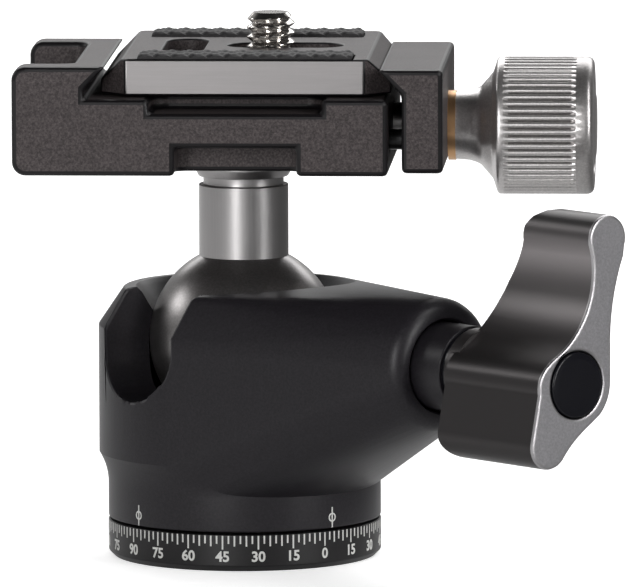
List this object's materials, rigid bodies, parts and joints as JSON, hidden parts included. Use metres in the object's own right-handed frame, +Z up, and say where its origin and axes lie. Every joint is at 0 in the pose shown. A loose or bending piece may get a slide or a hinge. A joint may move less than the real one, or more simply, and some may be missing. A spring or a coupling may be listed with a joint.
{
  "type": "tripod ball head",
  "caption": "Low-profile tripod ball head with a panning base, a drop notch, a lock lever and a dovetail quick-release clamp holding a camera plate.",
  "frame": {"origin": "Centre of the base's bottom face, on the thread's axis.", "axes": "+Z up along the pan axis and the upright stem, +X along the jaws' travel towards the clamp knob, +Y along the dovetail away from the side that shows the lever and the drop notch."},
  "size_m": [0.0808, 0.0751, 0.0716],
  "materials": {
    "base_black": "black anodised, satin",
    "housing_black": "charcoal black anodised, fine bead-blasted satin",
    "clamp_grey": "dark grey anodised, fine satin",
    "lever_grey": "gunmetal anodised with a polished front chamfer",
    "ball_silver": "clear anodised, satin ball and brushed stem",
    "knob_silver": "silver anodised, satin",
    "bare_aluminium": "turned",
    "bare_steel": "turned steel",
    "black_steel": "black oxide",
    "chrome_screw": "bright nickel plate",
    "brass_parts": "turned brass",
    "bronze": "turned bronze",
    "nylon": "moulded nylon",
    "black_plastic": "glossy black",
    "rubber_black": "matt black rubber with fine ribs"
  },
  "bodies": {
    "base": {"base_plate": "base_black", "reducing_insert": "brass_parts", "pan_washer": "nylon", "pan_nut": "bare_steel"},
    "housing": {"housing": "housing_black", "retaining_plug": "bare_aluminium", "plug_screws": "black_steel", "spindle_bush": "brass_parts"},
    "seat": {"ball_seat": "nylon", "seat_spring": "bare_steel"},
    "brake": {"brake_shoe": "nylon"},
    "lever": {"lock_spindle": "bare_steel", "lever_collar": "housing_black", "lever_washer": "black_plastic", "lever_handle": "lever_grey", "lever_screw": "black_steel", "lever_cap": "black_plastic"},
    "ball": {"ball_stem": "ball_silver"},
    "clamp": {"clamp_body": "clamp_grey", "centre_screw": "black_steel"},
    "jaw": {"moving_jaw": "clamp_grey", "guide_pins": "black_steel"},
    "knob": {"clamp_screw": "bare_steel", "thrust_washer": "bronze", "clamp_knob": "knob_silver", "knob_cap": "knob_silver"},
    "plate": {"plate_body": "clamp_grey", "rubber_front": "rubber_black", "rubber_rear": "rubber_black"},
    "screw_clip": {"screw_washer": "nylon"},
    "screw": {"camera_screw": "chrome_screw"}
  },
  "joints": [
    {"name": "pan", "type": "hinge", "parent": "base", "child": "housing", "pos_m": [0, 0, 0.0052], "axis": [0, 0, 1], "continuous": true},
    {"name": "tilt_heading", "type": "hinge", "parent": "housing", "child": "seat", "pos_m": [0, 0, 0.0287], "axis": [0, 0, 1], "range_deg": [-180, 0]},
    {"name": "ball_tilt", "type": "hinge", "parent": "seat", "child": "ball", "pos_m": [0, 0, 0.0287], "axis": [0.6626, -0.749, 0], "range_deg": [-40, 90]},
    {"name": "ball_swivel", "type": "hinge", "parent": "ball", "child": "clamp", "pos_m": [0, 0, 0.0287], "axis": [0, 0, 1], "continuous": true},
    {"name": "lock_lever", "type": "hinge", "parent": "brake", "child": "lever", "pos_m": [0, 0, 0.0287], "axis": [0.6884, -0.7254, 0], "range_deg": [0, 120]},
    {"name": "brake_travel", "type": "slide", "parent": "housing", "child": "brake", "axis": [0.6884, -0.7254, 0], "range_m": [0, 0.00033333]},
    {"name": "knob_turn", "type": "hinge", "parent": "jaw", "child": "knob", "pos_m": [0.0281, 0, 0.057], "axis": [1, 0, 0], "range_deg": [0, 1080]},
    {"name": "jaw_travel", "type": "slide", "parent": "clamp", "child": "jaw", "axis": [1, 0, 0], "range_m": [0, 0.003]},
    {"name": "plate_slide", "type": "slide", "parent": "clamp", "child": "plate", "axis": [0, 1, 0], "range_m": [-0.012, 0.008]},
    {"name": "screw_slide", "type": "slide", "parent": "plate", "child": "screw_clip", "axis": [1, 0, 0], "range_m": [-0.0023, 0.0062]},
    {"name": "screw_turn", "type": "hinge", "parent": "screw_clip", "child": "screw", "pos_m": [0.0035, 0.0029, 0.065], "axis": [0, 0, 1], "continuous": true}
  ],
  "couplings": [
    {"joint": "lock_lever", "follows": "brake_travel", "rad_per_m": 6283.2},
    {"joint": "knob_turn", "follows": "jaw_travel", "rad_per_m": 6283.2}
  ]
}
